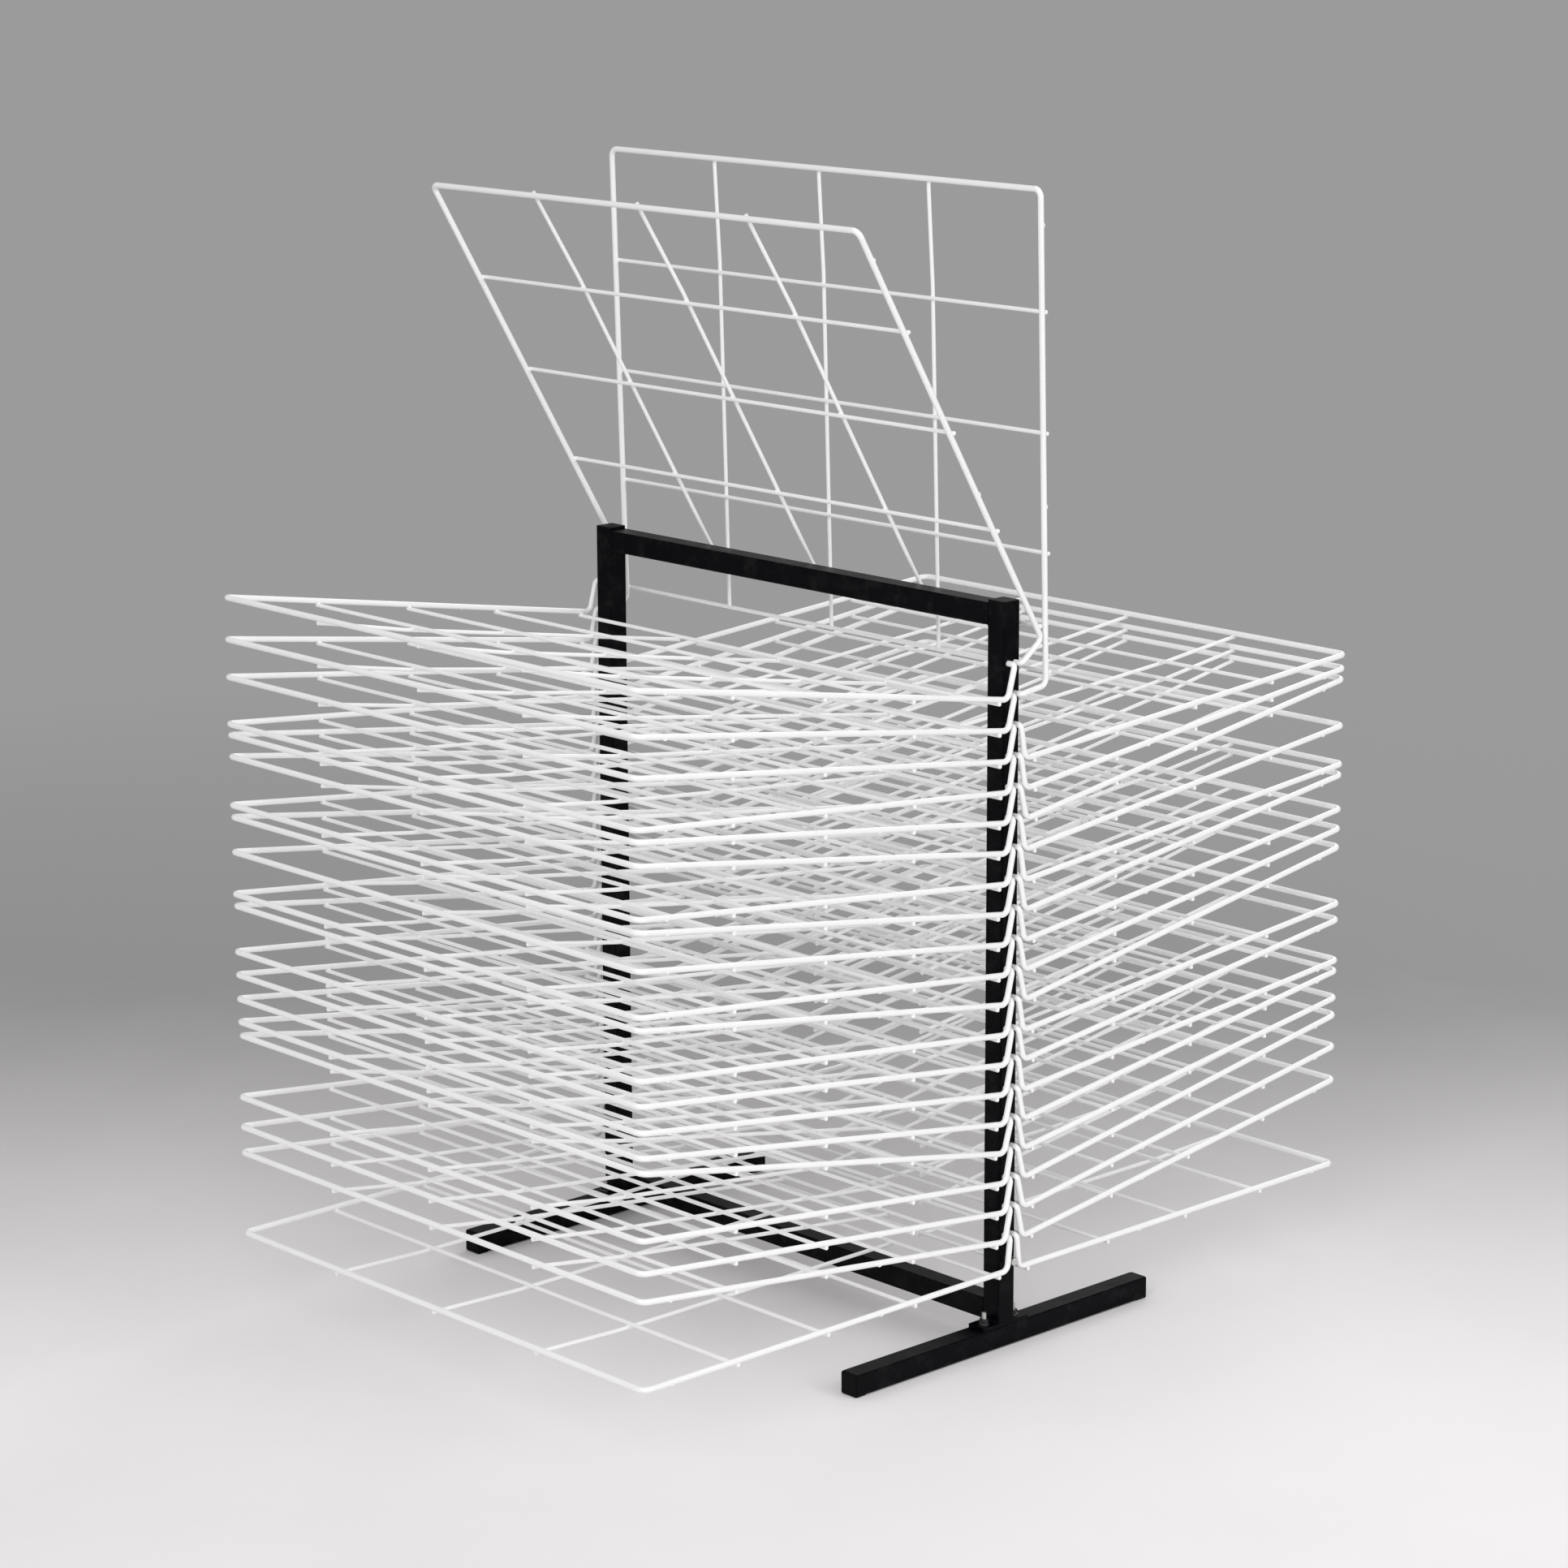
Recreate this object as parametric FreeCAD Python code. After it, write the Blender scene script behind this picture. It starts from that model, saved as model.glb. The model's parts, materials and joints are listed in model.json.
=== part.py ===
import FreeCAD, Part
import math
import os

# A floor-standing, double-sided drying rack: a welded frame of square tube on two
# feet, with twenty hinged wire shelves on each side.
# All sizes are in millimetres. +Z is up, X runs along the frame from post to post
# and Y runs along the feet. The origin is on the ground, in the middle of the rack.

Vec = FreeCAD.Vector
X_AXIS = Vec(1, 0, 0)
Y_AXIS = Vec(0, 1, 0)
Z_AXIS = Vec(0, 0, 1)

# Frame: square tube, welded
tube_side = 25.4
tube_wall = 1.5
tube_corner = 2.0
tube_least_inner_corner = 0.3
post_spacing = 660.0
post_rise_above_hooks = 67.4
top_bar_drop = 1.6
weld_leg = 2.5
weld_width = 5.2
weld_proud = 1.1
weld_blob_length = 6.0
weld_blob_shares = (0.26, 0.79)

# Feet, with plastic end caps that hold them just clear of the ground
foot_length = 474.0
foot_pad_height = 1.2
foot_pad_length = 12.0
foot_pad_inset = 1.6
foot_plate_thickness = 4.0
foot_plate_overhang = 14.0
foot_plate_corner = 3.0

# Plastic caps in the tube ends
foot_cap_flange = 4.0
foot_cap_corner = 2.6
foot_cap_round = 2.2
post_cap_flange = 2.0
cap_plug_depth = 12.0
cap_plug_clearance = 0.15
cap_edge_round = 1.2

# Bolts that hold each foot plate down on its foot
bolt_diameter = 6.0
bolt_post_distance = 10.3
bolt_hole_clearance = 0.3
bolt_head_diameter = 13.0
bolt_head_height = 1.0
bolt_head_round_share = 0.6
bolt_tip_chamfer = 0.5
bolt_projection = 8.0
washer_diameter = 12.0
washer_thickness = 1.2
nut_across_flats = 10.0
nut_height = 5.0
nut_bore_clearance = 0.05

# Shelves: one bent rim wire, cross wires under it and long wires under those, each
# pressed a little into the next where they are welded. The legs lean forwards of square
# to the shelf, by leg_lean degrees, to pass in front of the hooks of the shelf below.
shelf_count = 20
shelf_pitch = 34.8
leg_overlap = 4.2
lowest_shelf_rise = 40.4
hook_column_offset = 5.3
shelf_depth = 551.0
rim_diameter = 6.6
cross_diameter = 4.5
cross_count = 4
long_count = 3
rear_cross_inset = 18.0
weld_sink = 0.5
wire_overhang = 1.0
wire_end_inset = 0.6
wire_end_round = 1.2
long_wire_reach = 1.4
rim_side_clearance = 6.7
leg_lean = 6.0
hook_reach = 8.0
hook_hole_clearance = 0.25
hook_bend_radius = 4.5
rear_bend_radius = 9.0
front_corner_radius = 9.0
slope_inset = 11.0
slope_bend_radius = 150.0

# Where the shelves rest. A lying shelf's legs lean on the hooks of the shelf below, and
# its front edge then stands a little higher than that, by a share of the free gap.
# The first number is the uppermost lying shelf. The lowest one lies level on its studs.
leg_rest_gap = 0.25
tilt_step = 0.05
front_edge_shares = (2.1, 1.55, 1.2, 0.4, 1.3, 1.7, 0.8, 1.65, 1.4, 0.8,
                     1.65, 0.85, 1.15, 1.4, 1.7, 2.45, 0.85, 0.8, 0.95)
back_edge_shares = (0.0, 0.75, 1.65, 0.75, 0.25, 1.15, 0.85, 1.3,
                    1.8, 0.35, 0.95, 0.3, 1.2, 1.25, 1.8, 1.6, 1.3)
lowest_tilt = 0.0

# The two topmost back shelves are folded up: the first leans over the top bar,
# and the second stands against the bends of the first
top_bar_gap = 5.7
folded_gap = 2.2

# Stop studs on the outer post faces, between the legs of the two lowest shelves
stud_clearance = 0.3
stud_chamfer = 0.4

# How near an edge must lie to a face to be taken as one of that face's edges
edge_tolerance = 0.01

# Worked-out places
foot_top = foot_pad_height + tube_side
plate_top = foot_top + foot_plate_thickness
bottom_bar_top = plate_top + tube_side
bolt_spacing = tube_side + 2 * bolt_post_distance
foot_plate_length = bolt_spacing + 2 * foot_plate_overhang
post_x = post_spacing / 2
post_outer_x = post_x + tube_side / 2
post_inner_x = post_x - tube_side / 2
rim_radius = rim_diameter / 2
cross_radius = cross_diameter / 2
rim_offset = rim_side_clearance + rim_radius
rim_x = post_outer_x + rim_offset
leg_length = shelf_pitch + leg_overlap
cross_drop = rim_radius + cross_radius - weld_sink
long_drop = cross_drop + cross_diameter - weld_sink
rear_corner_y = leg_length * math.tan(math.radians(leg_lean))
cross_spacing = (shelf_depth - rear_cross_inset) / cross_count
last_cross_y = rear_cross_inset + (cross_count - 1) * cross_spacing
lowest_hook_height = bottom_bar_top + lowest_shelf_rise + leg_length
first_hook_height = lowest_hook_height + (shelf_count - 1) * shelf_pitch
post_top = first_hook_height + post_rise_above_hooks
top_bar_top = post_top - top_bar_drop

# What is left of the pitch where one front edge, with its wire ends, passes the next
free_gap = shelf_pitch - (rim_radius + cross_drop + cross_radius)


def hook_height(index):
    """Height of the hook holes of shelf number index, where 1 is the top shelf."""
    return first_hook_height - (index - 1) * shelf_pitch


def rounded_square(side, corner, z):
    """Flat face of a square with rounded corners, centred on the Z axis."""
    half = side / 2
    flat = half - corner
    mid = flat + corner * math.sqrt(0.5)
    edges = []
    for turn in range(4):
        start = Vec(half, -flat, z)
        end = Vec(half, flat, z)
        corner_mid = Vec(mid, mid, z)
        corner_end = Vec(flat, half, z)
        for edge in (Part.LineSegment(start, end), Part.Arc(end, corner_mid, corner_end)):
            shape = edge.toShape()
            shape.rotate(Vec(0, 0, 0), Z_AXIS, 90 * turn)
            edges.append(shape)
    return Part.Face(Part.Wire(edges))


def rounded_block(side, corner, z, height):
    """Upright block with rounded vertical edges."""
    return rounded_square(side, corner, z).extrude(Vec(0, 0, height))


def square_tube(length):
    """Upright hollow square tube that starts at height 0."""
    inner_side = tube_side - 2 * tube_wall
    inner_corner = max(tube_corner - tube_wall, tube_least_inner_corner)
    outer = rounded_block(tube_side, tube_corner, 0, length)
    return outer.cut(rounded_block(inner_side, inner_corner, 0, length))


def laid_along(shape, axis):
    """An upright shape turned so that its length lies along X or Y."""
    turned = shape.copy()
    if axis == "x":
        turned.rotate(Vec(0, 0, 0), Y_AXIS, 90)
    else:
        turned.rotate(Vec(0, 0, 0), X_AXIS, -90)
    return turned


def moved(shape, x, y, z):
    copy = shape.copy()
    copy.translate(Vec(x, y, z))
    return copy


def both_sides(shape):
    """The shape and its mirror image on the other side of the rack's middle."""
    return [shape, shape.mirror(Vec(0, 0, 0), X_AXIS)]


def right_post():
    """Upright tube with two columns of hook holes in its outer wall."""
    post = moved(square_tube(post_top - plate_top), post_x, 0, plate_top)
    hole_radius = rim_radius + hook_hole_clearance
    drill_start = post_outer_x - tube_side / 2
    holes = []
    for index in range(1, shelf_count + 1):
        for side in (-1, 1):
            place = Vec(drill_start, side * hook_column_offset, hook_height(index))
            holes.append(Part.makeCylinder(hole_radius, tube_side, place, X_AXIS))
    return post.cut(holes)


def cross_bar(top):
    """Tube between the posts, with its upper face at the height top."""
    bar = laid_along(square_tube(post_spacing - tube_side), "x")
    return moved(bar, -post_inner_x, 0, top - tube_side / 2)


def foot():
    """Right foot tube, drilled for its two bolts."""
    length = foot_length - 2 * foot_cap_flange
    tube = laid_along(square_tube(length), "y")
    tube = moved(tube, post_x, -length / 2, foot_pad_height + tube_side / 2)
    return tube.cut(bolt_holes(foot_pad_height, tube_side))


def bolt_places():
    return [(post_x, side * bolt_spacing / 2) for side in (-1, 1)]


def bolt_holes(z, height):
    radius = bolt_diameter / 2 + bolt_hole_clearance
    return [Part.makeCylinder(radius, height, Vec(x, y, z)) for x, y in bolt_places()]


def foot_plate():
    """Flat plate welded under the right post and bolted to its foot."""
    corner = Vec(post_x - tube_side / 2, -foot_plate_length / 2, foot_top)
    plate = Part.makeBox(tube_side, foot_plate_length, foot_plate_thickness, corner)
    upright = [e for e in plate.Edges if e.BoundBox.ZLength > foot_plate_thickness / 2]
    plate = plate.makeFillet(foot_plate_corner, upright)
    return plate.cut(bolt_holes(foot_top, foot_plate_thickness))


def cap_plug(depth):
    """The part of a cap that fills the tube's mouth, hanging down from height 0."""
    side = tube_side - 2 * tube_wall - 2 * cap_plug_clearance
    return rounded_block(side, cap_edge_round, -depth, depth)


def post_cap():
    """Cap in the top of the right post."""
    flange = rounded_block(tube_side, tube_corner, 0, post_cap_flange)
    top_edges = [e for e in flange.Edges if e.BoundBox.ZMin > post_cap_flange - edge_tolerance]
    flange = flange.makeFillet(min(cap_edge_round, post_cap_flange / 2), top_edges)
    return moved(flange.fuse(cap_plug(cap_plug_depth)), post_x, 0, post_top)


def foot_cap():
    """Cap in the back end of the right foot: its flange and pad stand on the ground."""
    height = tube_side + foot_pad_height
    half = tube_side / 2
    end = foot_length / 2
    tube_end = end - foot_cap_flange
    flange = Part.makeBox(tube_side, foot_cap_flange, height, Vec(-half, tube_end, 0))
    long_edges = [e for e in flange.Edges if e.BoundBox.YLength > foot_cap_flange / 2]
    flange = flange.makeFillet(foot_cap_corner, long_edges)
    outer_edges = [e for e in flange.Edges if e.BoundBox.YMin > end - edge_tolerance]
    flange = flange.makeFillet(foot_cap_round, outer_edges)
    plug = laid_along(cap_plug(cap_plug_depth), "y")
    plug = moved(plug, 0, tube_end, foot_pad_height + half)
    pad_width = tube_side - 2 * foot_pad_inset
    pad_corner = Vec(-pad_width / 2, tube_end - foot_pad_length, 0)
    pad = Part.makeBox(pad_width, foot_pad_length, foot_pad_height, pad_corner)
    return moved(flange.fuse([plug, pad]), post_x, 0, 0)


def bolt(x, y):
    """Round-headed bolt, up through the foot and its plate."""
    top = plate_top + washer_thickness + nut_height + bolt_projection
    shank = Part.makeCylinder(bolt_diameter / 2, top - foot_pad_height, Vec(0, 0, foot_pad_height))
    shank_top = [e for e in shank.Edges if e.BoundBox.ZMin > top - edge_tolerance]
    shank = shank.makeChamfer(bolt_tip_chamfer, shank_top)
    head_base = foot_pad_height - bolt_head_height
    head = Part.makeCylinder(bolt_head_diameter / 2, bolt_head_height, Vec(0, 0, head_base))
    rim = [e for e in head.Edges if e.BoundBox.ZMax < head_base + edge_tolerance]
    head = head.makeFillet(bolt_head_round_share * bolt_head_height, rim)
    return moved(shank.fuse(head), x, y, 0)


def washer(x, y):
    outer = Part.makeCylinder(washer_diameter / 2, washer_thickness, Vec(x, y, plate_top))
    radius = bolt_diameter / 2 + bolt_hole_clearance
    return outer.cut(Part.makeCylinder(radius, washer_thickness, Vec(x, y, plate_top)))


def nut(x, y):
    """Hexagonal nut on the washer."""
    base = plate_top + washer_thickness
    reach = nut_across_flats / math.sqrt(3)
    corners = []
    for turn in range(7):
        angle = math.radians(60 * turn)
        corners.append(Vec(x + reach * math.cos(angle), y + reach * math.sin(angle), base))
    block = Part.Face(Part.makePolygon(corners)).extrude(Vec(0, 0, nut_height))
    bore = Part.makeCylinder(bolt_diameter / 2 + nut_bore_clearance, nut_height, Vec(x, y, base))
    return block.cut(bore)


def corner_weld(length):
    """Bead that fills the corner between two square faces: it runs along X."""
    points = [Vec(0, 0, 0), Vec(0, weld_leg, 0), Vec(0, 0, weld_leg), Vec(0, 0, 0)]
    return Part.Face(Part.makePolygon(points)).extrude(Vec(length, 0, 0))


def face_weld(height):
    """Short bead across the joint of two faces in one plane: it stands up along Z."""
    half = weld_width / 2
    arc = Part.Arc(Vec(-half, 0, 0), Vec(0, -weld_proud, 0), Vec(half, 0, 0)).toShape()
    base = Part.LineSegment(Vec(half, 0, 0), Vec(-half, 0, 0)).toShape()
    return Part.Face(Part.Wire([arc, base])).extrude(Vec(0, 0, height))


def right_welds():
    """Beads at the right post: round the ends of both bars and on the foot plate."""
    run = tube_side - 2 * tube_corner
    beads = []
    for bar_bottom in (top_bar_top - tube_side, bottom_bar_top - tube_side):
        for share in weld_blob_shares:
            start = bar_bottom + share * tube_side - weld_blob_length / 2
            blob = moved(face_weld(weld_blob_length), post_inner_x, -tube_side / 2, start)
            beads.append(blob)
            beads.append(blob.mirror(Vec(0, 0, 0), Y_AXIS))
    upper = corner_weld(run)
    upper.rotate(Vec(0, 0, 0), Z_AXIS, 90)
    low_bar_bead = moved(upper, post_inner_x, -run / 2, bottom_bar_top)
    under = upper.mirror(Vec(0, 0, 0), Z_AXIS)
    beads.append(low_bar_bead)
    beads.append(moved(under, post_inner_x, -run / 2, top_bar_top - tube_side))
    plate_bead = moved(corner_weld(run), post_x - run / 2, tube_side / 2, plate_top)
    beads.append(plate_bead)
    beads.append(plate_bead.mirror(Vec(0, 0, 0), Y_AXIS))
    return beads


def stop_stud():
    """Stud on the right post, between the legs of the lowest front and back shelves."""
    lean = math.radians(leg_lean)
    drop = leg_length - rear_bend_radius
    leg_distance = hook_column_offset * math.cos(lean) + drop * math.sin(lean)
    radius = leg_distance - rim_radius - stud_clearance
    height = lowest_hook_height - drop
    length = rim_offset + rim_radius
    stud = Part.makeCylinder(radius, length, Vec(post_outer_x, 0, height), X_AXIS)
    stud_end = post_outer_x + length
    tip = [e for e in stud.Edges if e.BoundBox.XMin > stud_end - edge_tolerance]
    return stud.makeChamfer(stud_chamfer, tip)


def bent_path(points, radii):
    """Straight runs through the points, with an arc of the given radius at each inner one."""
    edges = []
    start = points[0]
    for before, corner, after, radius in zip(points, points[1:], points[2:], radii):
        to_before = (before - corner).normalize()
        to_after = (after - corner).normalize()
        half_angle = to_before.getAngle(to_after) / 2
        bisector = (to_before + to_after).normalize()
        arc_start = corner + to_before * (radius / math.tan(half_angle))
        arc_end = corner + to_after * (radius / math.tan(half_angle))
        centre = corner + bisector * (radius / math.sin(half_angle))
        edges.append(Part.LineSegment(start, arc_start).toShape())
        edges.append(Part.Arc(arc_start, centre - bisector * radius, arc_end).toShape())
        start = arc_end
    edges.append(Part.LineSegment(start, points[-1]).toShape())
    return Part.Wire(edges)


def bent_wire(points, radii, diameter):
    """Round wire bent along the points."""
    path = bent_path(points, radii)
    circle = Part.makeCircle(diameter / 2, points[0], points[1] - points[0])
    return path.makePipeShell([Part.Wire(circle)], True, False)


def straight_wire(start, end, diameter):
    """Round wire with softened ends."""
    run = end - start
    wire = Part.makeCylinder(diameter / 2, run.Length, start, run)
    ends = [e for e in wire.Edges if e.Curve.TypeId == "Part::GeomCircle"]
    return wire.makeFillet(min(wire_end_round, diameter / 3), ends)


def rim_corners():
    """Corners of one half of the rim's centre line, from its hook to its front corner."""
    rear = -leg_length
    return [
        Vec(post_outer_x - hook_reach, 0, 0),
        Vec(rim_x, 0, 0),
        Vec(rim_x, rear_corner_y, rear),
        Vec(rim_x, shelf_depth, rear),
    ]


def rim_wire():
    """The rim, from one hook round the front of the shelf to the other hook."""
    half = rim_corners()
    mirrored = [Vec(-point.x, point.y, point.z) for point in reversed(half)]
    bends = [hook_bend_radius, rear_bend_radius, front_corner_radius]
    return bent_wire(half + mirrored, bends + bends[::-1], rim_diameter)


def cross_wires():
    """Wires from side to side, under the rim, from the rearmost forwards."""
    reach = rim_x + rim_radius - wire_end_inset
    height = -leg_length - cross_drop
    wires = []
    for number in range(cross_count):
        out = rear_cross_inset + number * cross_spacing
        wires.append(straight_wire(Vec(-reach, out, height), Vec(reach, out, height), cross_diameter))
    return wires


def long_wires():
    """Wires from back to front, under the cross wires, that slope up under the front rim."""
    low = -leg_length - long_drop
    high = -leg_length - cross_drop
    wires = []
    for number in range(1, long_count + 1):
        x = -rim_x + 2 * rim_x * number / (long_count + 1)
        points = [
            Vec(x, rear_cross_inset - cross_radius - wire_overhang, low),
            Vec(x, last_cross_y + slope_inset, low),
            Vec(x, shelf_depth - slope_inset, high),
            Vec(x, shelf_depth + long_wire_reach, high),
        ]
        wires.append(bent_wire(points, [slope_bend_radius, slope_bend_radius], cross_diameter))
    return wires


def shelf_wires():
    """The wires of one shelf, its hooks on the X axis and its legs down, reaching along +Y."""
    return [rim_wire()] + cross_wires() + long_wires()


def lift_angle(share):
    """How far a shelf turns, in degrees, to lift its front edge by a share of the free gap."""
    return math.degrees(math.atan2(share * free_gap, shelf_depth))


def seat_tilt():
    """Least tilt at which a shelf's legs clear the hooks of the next shelf down.

    The shelf below is taken to lie one free gap higher at its front edge.
    """
    line = bent_path(rim_corners(), [hook_bend_radius, rear_bend_radius])
    tilt = 0.0
    gap = -1.0
    while gap < leg_rest_gap:
        tilt += tilt_step
        upper = line.copy()
        upper.rotate(Vec(0, 0, 0), X_AXIS, tilt)
        lower = line.copy()
        lower.rotate(Vec(0, 0, 0), X_AXIS, tilt + lift_angle(1))
        lower.translate(Vec(0, 0, -shelf_pitch))
        gap = upper.distToShape(lower)[0] - rim_diameter
    return tilt


def tilt_past(y, z, depth):
    """Tilt at which a line that runs at this depth under the hooks goes through a point.

    y and z are the point's place, seen from the hooks.
    """
    return math.degrees(math.atan2(z, y) + math.asin(depth / math.hypot(y, z)))


def folded_tilts():
    """Tilts of the two topmost back shelves, which are folded up."""
    edge_y = tube_side / 2 - hook_column_offset
    edge_z = top_bar_top - first_hook_height
    leaning = tilt_past(edge_y, edge_z, leg_length + long_drop - cross_radius - top_bar_gap)
    lean = math.radians(leg_lean)
    bend_drop = leg_length - rear_bend_radius
    bend_y = (rear_bend_radius + bend_drop * math.sin(lean)) / math.cos(lean)
    bend = Vec(0, bend_y, -bend_drop)
    turn = FreeCAD.Rotation(X_AXIS, leaning)
    bend_centre = turn.multVec(bend) + Vec(0, 0, shelf_pitch)
    wire_depth = leg_length - rear_bend_radius - rim_diameter - folded_gap
    return [leaning, tilt_past(bend_centre.y, bend_centre.z, wire_depth)]


def rest_tilts():
    """Rest tilts of the front and of the back shelves, from the top one down."""
    seat = seat_tilt()
    front = [seat + lift_angle(share) for share in front_edge_shares]
    back = [seat + lift_angle(share) for share in back_edge_shares]
    return front + [lowest_tilt], folded_tilts() + back + [lowest_tilt]


def placed_shelf(wires, side, index, tilt):
    """The wires turned up by the shelf's tilt and hooked into its holes: side -1 is the front."""
    placed = []
    for wire in wires:
        turned = wire.copy()
        turned.rotate(Vec(0, 0, 0), X_AXIS, tilt)
        if side < 0:
            turned.rotate(Vec(0, 0, 0), Z_AXIS, 180)
        placed.append(moved(turned, 0, side * hook_column_offset, hook_height(index)))
    return placed


def frame_nodes():
    """The fixed pieces: each node's name and its solids."""
    post = right_post()
    plate = foot_plate()
    tube = foot()
    end_cap = foot_cap()
    foot_caps = [end_cap, end_cap.mirror(Vec(0, 0, 0), Y_AXIS)]
    nodes = {}
    for name, shape in (("post", post), ("foot_plate", plate), ("foot", tube)):
        right, left = both_sides(shape)
        nodes["right_" + name] = [right]
        nodes["left_" + name] = [left]
    nodes["top_bar"] = [cross_bar(top_bar_top)]
    nodes["bottom_bar"] = [cross_bar(bottom_bar_top)]
    nodes["post_caps"] = both_sides(post_cap())
    nodes["foot_end_caps"] = [s for cap in foot_caps for s in both_sides(cap)]
    for name, make in (("foot_bolts", bolt), ("foot_washers", washer), ("foot_nuts", nut)):
        nodes[name] = [s for x, y in bolt_places() for s in both_sides(make(x, y))]
    nodes["frame_welds"] = [s for bead in right_welds() for s in both_sides(bead)]
    nodes["shelf_stop_studs"] = both_sides(stop_stud())
    return nodes


def shelf_nodes():
    """The forty shelves, numbered from the top on each side: each node's name and its wires."""
    wires = shelf_wires()
    front_tilts, back_tilts = rest_tilts()
    nodes = {}
    for word, side, tilts in (("front", -1, front_tilts), ("back", 1, back_tilts)):
        for index, tilt in enumerate(tilts, start=1):
            name = "%s_shelf_%02d" % (word, index)
            nodes[name] = placed_shelf(wires, side, index, tilt)
    return nodes


def main():
    os.makedirs("parts", exist_ok=True)
    nodes = frame_nodes()
    nodes.update(shelf_nodes())
    for name, solids in nodes.items():
        for solid in solids:
            if not solid.isValid() or len(solid.Solids) != 1:
                raise RuntimeError("%s isn't one sound solid" % name)
        shape = solids[0] if len(solids) == 1 else Part.makeCompound(solids)
        shape.exportStep("parts/%s.step" % name)
    print("%d nodes" % len(nodes))


main()
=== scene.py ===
import json
import math

import bmesh
import bpy
from mathutils import Euler, Matrix, Vector


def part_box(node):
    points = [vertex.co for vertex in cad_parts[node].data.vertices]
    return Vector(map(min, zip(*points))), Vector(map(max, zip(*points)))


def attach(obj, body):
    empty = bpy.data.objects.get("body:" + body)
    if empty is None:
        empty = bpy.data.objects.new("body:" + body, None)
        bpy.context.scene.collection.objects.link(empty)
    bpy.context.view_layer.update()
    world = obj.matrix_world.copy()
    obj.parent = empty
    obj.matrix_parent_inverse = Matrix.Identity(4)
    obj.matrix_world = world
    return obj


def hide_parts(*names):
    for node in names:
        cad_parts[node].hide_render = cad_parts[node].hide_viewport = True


# %% [markdown]
# # A double-sided art drying rack
# The rack is a welded frame of black square tube on two feet. Twenty white wire shelves
# hook into each side of its posts, and each one lifts by turning in its holes.
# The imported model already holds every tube, wire and bolt at its real size, so this
# lesson dresses it: it gives each finish its own material, and adds what the solids
# are too plain for, such as the coating that fills the corners between two wires.

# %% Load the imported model
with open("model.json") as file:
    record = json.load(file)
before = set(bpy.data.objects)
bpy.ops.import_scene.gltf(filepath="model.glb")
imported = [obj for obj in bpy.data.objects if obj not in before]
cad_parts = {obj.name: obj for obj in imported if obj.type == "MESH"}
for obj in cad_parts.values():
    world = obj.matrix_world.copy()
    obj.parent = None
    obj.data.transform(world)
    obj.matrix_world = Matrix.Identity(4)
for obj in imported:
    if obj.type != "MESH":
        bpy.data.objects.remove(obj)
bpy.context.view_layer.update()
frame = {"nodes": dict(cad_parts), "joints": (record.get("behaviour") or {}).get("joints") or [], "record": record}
nodes = frame["nodes"]
hinges = {joint["child"]: Vector(joint["pos_m"]) for joint in frame["joints"]}
shelf_names = sorted(hinges)
print("nodes:", len(nodes), "shelves:", len(shelf_names))

# %% [markdown]
# ## The camera
# A long lens from a few metres away keeps the posts nearly parallel. The camera could
# be aimed with a Track To constraint, but a product view is easier to repeat when its
# place and its three turns are plain numbers, so they are set directly.

# %% Place the camera
camera_place = Vector((3.652, -3.421, 1.780))
camera_turn = math.radians(47.07)
camera_dip = math.radians(13.25)
camera_roll = math.radians(-0.23)
camera_lens = 101.3
sensor_width = 36.0


def link(name, data):
    """A new object in the scene that shows a mesh, a lamp or a camera."""
    made = bpy.data.objects.new(name, data)
    bpy.context.scene.collection.objects.link(made)
    return made


camera_data = bpy.data.cameras.new("camera")
camera_data.lens = camera_lens
camera_data.sensor_width = sensor_width
camera = link("camera", camera_data)
aim = Euler((math.pi / 2 - camera_dip, 0, camera_turn)).to_matrix()
rolled_aim = aim @ Matrix.Rotation(camera_roll, 3, "Z")
camera.matrix_world = Matrix.Translation(camera_place) @ rolled_aim.to_4x4()
bpy.context.scene.camera = camera
print("camera is", round(camera_place.length, 2), "m from the middle of the rack")

# %% [markdown]
# ## Building materials with code
# A material is a small network of nodes. Wiring one by hand takes many lines, so a few
# helpers make a node, set its plain inputs and join it to others. Effects that several
# finishes share are node groups: built once, and placed in each material with its own
# values. The groups below put out only masks and heights, and the shader itself stays
# in each material.

# %% Helpers that make and feed nodes
MIX_FIRST_COLOUR = 6
MIX_SECOND_COLOUR = 7
MIX_COLOUR_RESULT = 2


def feed(tree, node, values):
    """Gives each named input a plain value, or joins it to another node's output."""
    for name, value in values.items():
        socket = node.inputs[name]
        if isinstance(value, bpy.types.NodeSocket):
            tree.links.new(value, socket)
        else:
            socket.default_value = value


def add_node(tree, kind, values=None, **settings):
    """A new node. settings are its properties, and values feed its inputs."""
    node = tree.nodes.new(kind)
    for name, value in settings.items():
        setattr(node, name, value)
    feed(tree, node, values or {})
    return node


def math_node(tree, operation, first, second=0.0, clamp=False):
    """The output of a Math node with two inputs."""
    node = add_node(tree, "ShaderNodeMath", {0: first, 1: second}, operation=operation)
    node.use_clamp = clamp
    return node.outputs[0]


def remap(tree, value, low, high, to_low=0.0, to_high=1.0):
    """A value moved from one range to another and kept inside it."""
    node = add_node(tree, "ShaderNodeMapRange", {
        "Value": value, "From Min": low, "From Max": high,
        "To Min": to_low, "To Max": to_high})
    return node.outputs["Result"]


def blend_colours(tree, amount, first, second):
    """Two colours mixed by an amount from 0 to 1."""
    node = add_node(tree, "ShaderNodeMix", data_type="RGBA")
    feed(tree, node, {"Factor": amount, MIX_FIRST_COLOUR: first, MIX_SECOND_COLOUR: second})
    return node.outputs[MIX_COLOUR_RESULT]


print("helpers for nodes ready")

# %% Helpers for noise and bump
NOISE_LOW = 0.3
NOISE_HIGH = 0.7


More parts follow.
